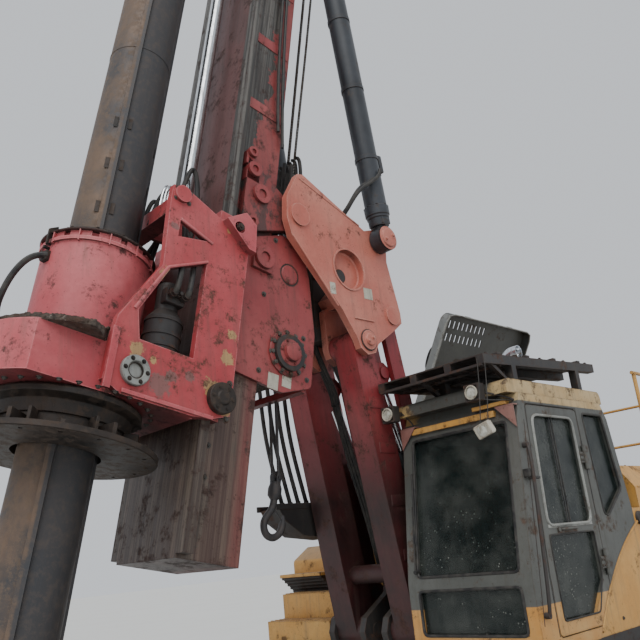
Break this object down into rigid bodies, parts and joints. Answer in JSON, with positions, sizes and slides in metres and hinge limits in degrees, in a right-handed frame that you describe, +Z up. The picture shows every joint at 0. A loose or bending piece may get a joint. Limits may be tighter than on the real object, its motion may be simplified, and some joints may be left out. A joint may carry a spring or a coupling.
{
  "type": "rotary piling rig",
  "caption": "Tracked rotary piling rig with a leaning box mast, telescopic kelly, crowded rotary drive, parallelogram front linkage and a guarded cab.",
  "frame": {"origin": "on the ground, under the centre of the machine's bounding box", "axes": "+X forward to the kelly, +Y to the machine's left, +Z up"},
  "size_m": [8.8102, 4.3, 20.1285],
  "materials": {
    "red_paint": "faded, scratched semi-gloss",
    "yellow_paint": "faded satin",
    "grey_paint": "dusty satin",
    "dark_paint": "worn satin",
    "black_paint": "semi-gloss",
    "rusty_steel": "brown rust",
    "track_steel": "worn and dusty",
    "engine_iron": "painted casting",
    "rod_chrome": "polished",
    "exhaust_steel": "heat-stained",
    "cab_glass": "clear, dusty",
    "seat_cloth": "woven"
  },
  "bodies": {
    "root": {"car_body": "dark_paint", "track_frame_left": "dark_paint", "track_frame_right": "dark_paint", "track_left": "track_steel", "track_right": "track_steel"},
    "upper": {"platform": "dark_paint", "counterweight": "yellow_paint", "engine_bay": "yellow_paint", "engine_block": "engine_iron", "fuel_tank": "yellow_paint", "exhaust": "exhaust_steel", "handrails": "yellow_paint", "cab_frame": "grey_paint", "cab_glass": "cab_glass", "cab_seat": "seat_cloth", "roof_guard": "dark_paint", "work_lamps": "dark_paint"},
    "cab_door": {"cab_door": "grey_paint", "door_glass": "cab_glass"},
    "engine_hood": {"engine_hood": "grey_paint"},
    "service_door_left": {"service_door_left": "yellow_paint"},
    "service_door_right": {"service_door_right": "yellow_paint"},
    "arm": {"boom_arm": "red_paint"},
    "links": {"link_rods": "red_paint"},
    "luff_barrels": {"luff_barrels": "black_paint"},
    "luff_rods": {"luff_rods": "rod_chrome"},
    "bracket": {"mast_bracket": "red_paint"},
    "mast_barrels": {"mast_barrels": "black_paint"},
    "mast_rods": {"mast_rods": "rod_chrome"},
    "mast": {"mast_lower": "red_paint", "mast_middle": "red_paint", "mast_upper": "grey_paint", "mast_head": "red_paint", "winch_frame": "red_paint", "crowd_barrel": "black_paint"},
    "main_drum": {"main_drum": "dark_paint"},
    "aux_drum": {"aux_drum": "dark_paint"},
    "main_front_sheave": {"main_front_sheave": "grey_paint"},
    "main_rear_sheave": {"main_rear_sheave": "grey_paint"},
    "aux_front_sheave": {"aux_front_sheave": "grey_paint"},
    "aux_rear_sheave": {"aux_rear_sheave": "grey_paint"},
    "carriage": {"drive_frame": "red_paint", "drive_gearbox": "red_paint", "drive_motors": "dark_paint", "crowd_rod": "rod_chrome"},
    "sleeve": {"drive_sleeve": "rusty_steel"},
    "guide": {"kelly_guide": "red_paint"},
    "kelly": {"kelly_outer": "rusty_steel"},
    "kelly_core": {"kelly_inner": "rusty_steel", "kelly_swivel": "grey_paint"}
  },
  "joints": [
    {"name": "slew", "type": "hinge", "parent": "root", "child": "upper", "pos_m": [-0.45513, 0, 1.215], "axis": [0, 0, 1], "continuous": true},
    {"name": "arm_luff", "type": "hinge", "parent": "upper", "child": "arm", "pos_m": [1.09487, 0, 1.56], "axis": [0, 1, 0], "range_deg": [0, 26]},
    {"name": "link_swing", "type": "hinge", "parent": "upper", "child": "links", "pos_m": [0.76487, 0, 1.81], "axis": [0, 1, 0], "range_deg": [0, 26]},
    {"name": "bracket_level", "type": "hinge", "parent": "arm", "child": "bracket", "pos_m": [1.43589, 0, 3.71316], "axis": [0, 1, 0], "range_deg": [-26, 0]},
    {"name": "luff_cylinder_swing", "type": "hinge", "parent": "upper", "child": "luff_barrels", "pos_m": [0.45487, 0, 1.58], "axis": [0, 1, 0], "range_deg": [0, 22.51]},
    {"name": "luff_cylinder_stroke", "type": "slide", "parent": "luff_barrels", "child": "luff_rods", "axis": [0.3463, 0, 0.9381], "range_m": [0, 0.25767]},
    {"name": "mast_tilt", "type": "hinge", "parent": "bracket", "child": "mast", "pos_m": [2.05589, 0, 4.63316], "axis": [0, 1, 0], "range_deg": [-3, 17]},
    {"name": "mast_cylinder_swing", "type": "hinge", "parent": "bracket", "child": "mast_barrels", "pos_m": [1.17589, 0, 4.60316], "axis": [0, 1, 0], "range_deg": [-2.83, 16.06]},
    {"name": "mast_cylinder_stroke", "type": "slide", "parent": "mast_barrels", "child": "mast_rods", "axis": [0.0977, 0, 0.9952], "range_m": [-0.04471, 0.25333]},
    {"name": "crowd", "type": "slide", "parent": "mast", "child": "carriage", "axis": [-0.2079, 0, 0.9781], "range_m": [-0.6, 4.7]},
    {"name": "kelly_hoist", "type": "slide", "parent": "mast", "child": "guide", "axis": [-0.2079, 0, 0.9781], "range_m": [-9, 1.2]},
    {"name": "kelly_spin", "type": "hinge", "parent": "guide", "child": "kelly", "pos_m": [3.30792, 0, 4.89929], "axis": [-0.2079, 0, 0.9781], "continuous": true},
    {"name": "sleeve_spin", "type": "hinge", "parent": "carriage", "child": "sleeve", "pos_m": [3.30792, 0, 4.89929], "axis": [-0.2079, 0, 0.9781], "continuous": true},
    {"name": "kelly_telescope", "type": "slide", "parent": "kelly", "child": "kelly_core", "axis": [-0.2079, 0, 0.9781], "range_m": [-11.5, 0]},
    {"name": "main_winch", "type": "hinge", "parent": "mast", "child": "main_drum", "pos_m": [2.20634, 0, 3.54056], "axis": [0, 1, 0], "continuous": true},
    {"name": "aux_winch", "type": "hinge", "parent": "mast", "child": "aux_drum", "pos_m": [2.11449, 0, 4.16512], "axis": [0, 1, 0], "continuous": true},
    {"name": "main_front_sheave_spin", "type": "hinge", "parent": "mast", "child": "main_front_sheave", "pos_m": [-0.16657, 0, 19.80257], "axis": [0, 1, 0], "continuous": true},
    {"name": "aux_front_sheave_spin", "type": "hinge", "parent": "mast", "child": "aux_front_sheave", "pos_m": [-0.16657, 0, 19.80257], "axis": [0, 1, 0], "continuous": true},
    {"name": "main_rear_sheave_spin", "type": "hinge", "parent": "mast", "child": "main_rear_sheave", "pos_m": [-1.16428, 0, 19.5905], "axis": [0, 1, 0], "continuous": true},
    {"name": "aux_rear_sheave_spin", "type": "hinge", "parent": "mast", "child": "aux_rear_sheave", "pos_m": [-1.16428, 0, 19.5905], "axis": [0, 1, 0], "continuous": true},
    {"name": "cab_door_swing", "type": "hinge", "parent": "upper", "child": "cab_door", "pos_m": [0.37487, 1.526, 1.91], "axis": [0, 0, 1], "range_deg": [0, 150]},
    {"name": "hood_lift", "type": "hinge", "parent": "upper", "child": "engine_hood", "pos_m": [-1.65513, -1.384, 2.642], "axis": [1, 0, 0], "range_deg": [-59, 0]},
    {"name": "service_door_left_swing", "type": "hinge", "parent": "upper", "child": "service_door_left", "pos_m": [-1.31313, 1.515, 2], "axis": [0, 0, 1], "range_deg": [-120, 0]},
    {"name": "service_door_right_swing", "type": "hinge", "parent": "upper", "child": "service_door_right", "pos_m": [-1.31313, -1.515, 2], "axis": [0, 0, 1], "range_deg": [0, 120]}
  ],
  "couplings": [
    {"joint": "link_swing", "follows": "arm_luff", "ratio": 1},
    {"joint": "bracket_level", "follows": "arm_luff", "ratio": -1},
    {"joint": "luff_cylinder_swing", "follows": "arm_luff", "ratio": 0.86584},
    {"joint": "luff_cylinder_stroke", "follows": "arm_luff", "m_per_rad": 0.56781},
    {"joint": "mast_cylinder_swing", "follows": "mast_tilt", "ratio": 0.94474},
    {"joint": "mast_cylinder_stroke", "follows": "mast_tilt", "m_per_rad": 0.8538},
    {"joint": "sleeve_spin", "follows": "kelly_spin", "ratio": 1}
  ]
}
